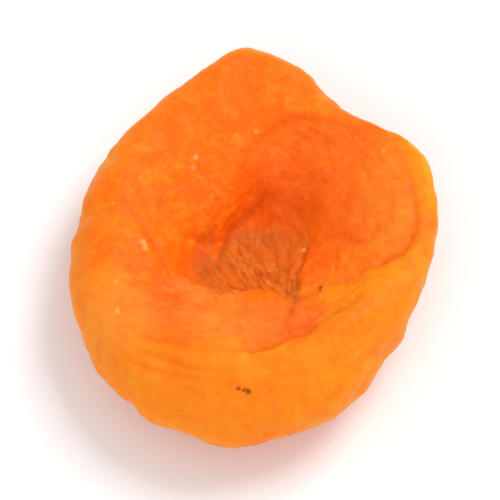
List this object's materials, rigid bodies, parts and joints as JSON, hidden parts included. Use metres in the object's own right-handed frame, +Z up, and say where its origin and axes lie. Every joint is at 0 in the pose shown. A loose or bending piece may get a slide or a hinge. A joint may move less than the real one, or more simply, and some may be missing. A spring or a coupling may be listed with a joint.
{
  "type": "dried apricot half",
  "caption": "Dried apricot half lying skin side down: a plump cup with a rolled rim, a wrinkled hollow left by the stone and a small flat spot to rest on.",
  "frame": {"origin": "middle of the fruit's outline, on the table under it", "axes": "+Z up out of the hollow, -Y towards the thick rolled rim, +Y towards the far tip, +X towards the thin right-hand lobe"},
  "size_m": [0.036, 0.0414, 0.0126],
  "materials": {
    "flesh": "soft translucent orange flesh and skin, slightly sticky satin, darker and browner in the stone's hollow"
  },
  "bodies": {
    "root": {"apricot_half": "flesh"}
  },
  "joints": []
}
